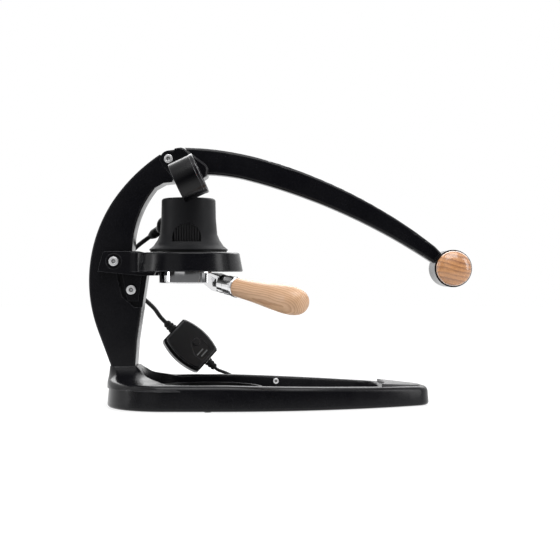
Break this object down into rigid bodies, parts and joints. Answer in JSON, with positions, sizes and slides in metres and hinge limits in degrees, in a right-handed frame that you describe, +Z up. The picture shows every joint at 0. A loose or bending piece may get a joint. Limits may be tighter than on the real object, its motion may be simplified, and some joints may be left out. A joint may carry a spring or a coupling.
{
  "type": "lever espresso maker",
  "caption": "Manual lever espresso maker: C-shaped post on a long ring base, swept lever with wooden grip, heated brew head, portafilter with wooden handle, and side gauge.",
  "frame": {"origin": "on the table, at the middle of the rear rubber foot pad under the post", "axes": "+Z up, +X from the post towards the person who pulls the lever, +Y to the far side in the picture"},
  "size_m": [0.4151, 0.3002, 0.2817],
  "materials": {
    "black_cast": "satin powder coat",
    "chamber_dark": "dull hard coat",
    "rubber": "matt",
    "steel_screw": "satin",
    "steel_bright": "polished",
    "chrome": "polished",
    "bronze": "machined",
    "grip_wood": "oiled",
    "handle_wood": "oiled",
    "seal": "matt",
    "heater": "machined",
    "sleeve": "matt silicone",
    "sleeve_ribs": "matt silicone",
    "plug_black": "fine grain",
    "gauge_black": "fine grain",
    "gauge_ring": "satin",
    "lens": "clear",
    "dial": "matt",
    "needle": "satin",
    "tray_black": "satin",
    "plate_black": "satin",
    "box_black": "fine grain",
    "light_bar": "translucent",
    "board": "lacquered",
    "boot": "matt",
    "lead": "matt"
  },
  "bodies": {
    "frame": {"base_frame": "black_cast", "base_feet": "rubber", "post": "black_cast", "post_bolts": "steel_screw", "group_arm": "black_cast", "arm_bolts": "steel_screw", "arm_nuts": "steel_screw", "pivot_bush": "bronze", "brew_chamber": "chamber_dark", "chamber_cap": "black_cast", "heater_band": "heater", "group_gasket": "seal", "water_screen": "steel_bright", "brew_sleeve": "sleeve", "grip_ribs": "sleeve_ribs", "heater_plug": "plug_black", "well_screws": "steel_screw", "nose_plate": "plate_black", "controller_back": "box_black", "controller_front": "box_black", "light_bars": "light_bar", "circuit_board": "board", "upper_boot": "boot", "lower_boot": "boot", "heater_lead": "lead", "supply_lead": "lead", "supply_coil": "lead", "supply_tail": "lead", "supply_plug": "plug_black"},
    "lever": {"lever": "black_cast", "lever_axle": "steel_screw", "axle_nut": "steel_screw", "grip_rod": "steel_screw", "grip_near": "grip_wood", "grip_far": "grip_wood"},
    "plunger": {"plunger_stem": "steel_bright", "cross_pin": "steel_bright", "pin_cap": "steel_screw", "piston": "steel_bright", "piston_seals": "seal"},
    "gauge": {"gauge_case": "gauge_black", "gauge_bezel": "gauge_ring", "gauge_lens": "lens", "gauge_dial": "dial", "gauge_movement": "bronze"},
    "needle": {"gauge_needle": "needle"},
    "basket": {"filter_basket": "steel_bright"},
    "portafilter": {"portafilter_body": "chrome", "basket_clip": "steel_bright", "neck_collar": "chrome", "handle_ferrule": "chrome", "portafilter_handle": "handle_wood", "handle_stud": "steel_screw"},
    "button": {"controller_button": "box_black"},
    "tray": {"drip_tray": "tray_black"}
  },
  "joints": [
    {"name": "lever_swing", "type": "hinge", "parent": "frame", "child": "lever", "pos_m": [0.0438, 0, 0.2688], "axis": [0, -1, 0], "range_deg": [0, 90]},
    {"name": "plunger_slide", "type": "slide", "parent": "frame", "child": "plunger", "axis": [0, 0, 1], "range_m": [0, 0.0414]},
    {"name": "gauge_swivel", "type": "hinge", "parent": "plunger", "child": "gauge", "pos_m": [0.0645, -0.046, 0.2481], "axis": [0, 1, 0], "range_deg": [-20, 20]},
    {"name": "gauge_needle", "type": "hinge", "parent": "gauge", "child": "needle", "pos_m": [0.0677, -0.046, 0.2453], "axis": [-0.9063, 0, -0.4226], "range_deg": [0, 270], "stiffness_Nm_per_rad": 0.0005, "springref_deg": -17.19},
    {"name": "portafilter_drop", "type": "slide", "parent": "frame", "child": "basket", "axis": [0, 0, -1], "range_m": [0, 0.045]},
    {"name": "portafilter_turn", "type": "hinge", "parent": "basket", "child": "portafilter", "pos_m": [0.0645, 0, 0.145], "axis": [0, 0, 1], "range_deg": [0, 45]},
    {"name": "button_press", "type": "slide", "parent": "frame", "child": "button", "axis": [-0.2311, 0.9397, -0.2522], "range_m": [0, 0.001], "stiffness_N_per_m": 800},
    {"name": "tray_lift", "type": "slide", "parent": "frame", "child": "tray", "axis": [0, 0, 1], "range_m": [0, 0.03]}
  ],
  "couplings": [
    {"joint": "plunger_slide", "follows": "lever_swing", "m_per_rad": 0.026356}
  ]
}
